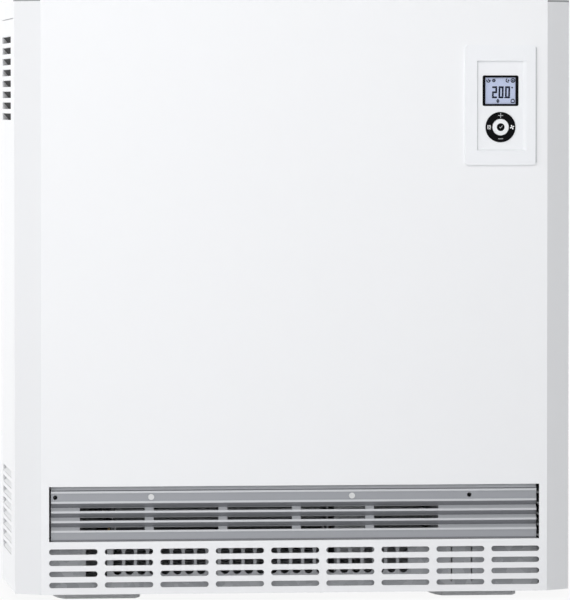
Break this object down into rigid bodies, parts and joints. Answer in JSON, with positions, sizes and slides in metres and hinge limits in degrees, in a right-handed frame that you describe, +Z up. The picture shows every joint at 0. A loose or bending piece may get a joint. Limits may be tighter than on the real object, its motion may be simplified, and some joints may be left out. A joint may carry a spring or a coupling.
{
  "type": "storage heater",
  "caption": "Fan-assisted storage heater in a flat upright casing with an outlet grille, intake slots and a recessed control panel; stands on two feet close to a wall.",
  "frame": {"origin": "on the floor under the middle of the whole heater, halfway between the control frame's front and the wall", "axes": "+X to the right seen from the room, +Y from the room towards the wall, +Z up"},
  "size_m": [0.605, 0.275, 0.65],
  "materials": {
    "white_enamel": "smooth satin powder coat",
    "black_plastic": "satin",
    "galvanised_steel": "spangled zinc",
    "foot_steel": "light grey satin",
    "rubber": "matt",
    "grille_metal": "silver-grey metallic paint",
    "zinc_screws": "bright zinc",
    "insulation_board": "pressed mineral board",
    "storage_brick": "fired magnetite brick",
    "element_steel": "drawn steel tube",
    "ceramic_bushing": "unglazed",
    "brass": "plain",
    "grey_plastic": "moulded",
    "dark_plastic": "moulded",
    "red_plastic": "moulded",
    "wire_cover": "silicone sleeve",
    "fan_metal": "mill finish",
    "white_plastic": "smooth moulded",
    "clear_window": "clear",
    "lcd_glass": "backlit liquid crystal",
    "circuit_board": "solder mask"
  },
  "bodies": {
    "root": {"front_panel": "white_enamel", "corner_caps": "grey_plastic", "left_side_panel": "white_enamel", "right_side_panel": "white_enamel", "top_cover": "white_enamel", "rear_panel": "galvanised_steel", "base_pan": "galvanised_steel", "left_foot": "foot_steel", "right_foot": "foot_steel", "wall_bracket": "galvanised_steel", "cable_grommet": "rubber", "outlet_grille": "grille_metal", "casing_screws": "zinc_screws", "inner_front_cover": "galvanised_steel", "intake_plate": "galvanised_steel", "front_insulation": "insulation_board", "rear_insulation": "insulation_board", "left_insulation": "insulation_board", "right_insulation": "insulation_board", "top_insulation": "insulation_board", "bottom_insulation": "insulation_board", "core_shelf": "galvanised_steel", "brick_layer_1": "storage_brick", "brick_layer_2": "storage_brick", "brick_layer_3": "storage_brick", "brick_layer_4": "storage_brick", "brick_layer_5": "storage_brick", "brick_layer_6": "storage_brick", "heating_element_1": "element_steel", "heating_element_2": "element_steel", "heating_element_3": "element_steel", "element_bushings": "ceramic_bushing", "element_links": "brass", "left_inner_wall": "galvanised_steel", "partition_wall": "galvanised_steel", "terminal_block": "grey_plastic", "charge_controller": "grey_plastic", "thermal_relay": "dark_plastic", "safety_limiter": "grey_plastic", "core_sensor": "element_steel", "wiring_loom": "wire_cover", "outlet_duct": "galvanised_steel", "fan_housing": "galvanised_steel", "fan_bearings": "brass", "fan_motor": "fan_metal", "damper_bimetal": "brass", "control_frame": "white_plastic", "display_bezel": "black_plastic", "display_window": "clear_window", "lcd_module": "lcd_glass", "control_board": "circuit_board", "button_guide": "white_plastic"},
    "fan_rotor": {"impeller": "fan_metal", "impeller_shaft": "element_steel"},
    "damper": {"mixing_damper": "galvanised_steel"},
    "gimbal": {"rocker_gimbal": "grey_plastic"},
    "ring_key": {"ring_rocker": "black_plastic"},
    "center_key": {"center_button": "white_plastic", "button_pad": "black_plastic"},
    "reset_key": {"reset_button": "red_plastic"}
  },
  "joints": [
    {"name": "fan_spin", "type": "hinge", "parent": "root", "child": "fan_rotor", "pos_m": [-0.07, 0.018, 0.066], "axis": [1, 0, 0], "continuous": true},
    {"name": "damper_tilt", "type": "hinge", "parent": "root", "child": "damper", "pos_m": [0, -0.042, 0.1225], "axis": [1, 0, 0], "range_deg": [0, 55], "stiffness_Nm_per_rad": 0.12, "springref_deg": -28.65},
    {"name": "ring_tip_up_down", "type": "hinge", "parent": "root", "child": "gimbal", "pos_m": [0.224, -0.129, 0.512], "axis": [1, 0, 0], "range_deg": [-2.5, 2.5], "stiffness_Nm_per_rad": 0.5},
    {"name": "ring_tip_left_right", "type": "hinge", "parent": "gimbal", "child": "ring_key", "pos_m": [0.224, -0.129, 0.512], "axis": [0, 0, 1], "range_deg": [-2.5, 2.5], "stiffness_Nm_per_rad": 0.5},
    {"name": "center_press", "type": "slide", "parent": "root", "child": "center_key", "axis": [0, 1, 0], "range_m": [0, 0.0008], "stiffness_N_per_m": 2000},
    {"name": "reset_press", "type": "slide", "parent": "root", "child": "reset_key", "axis": [0, 1, 0], "range_m": [0, 0.0015], "stiffness_N_per_m": 1500}
  ]
}
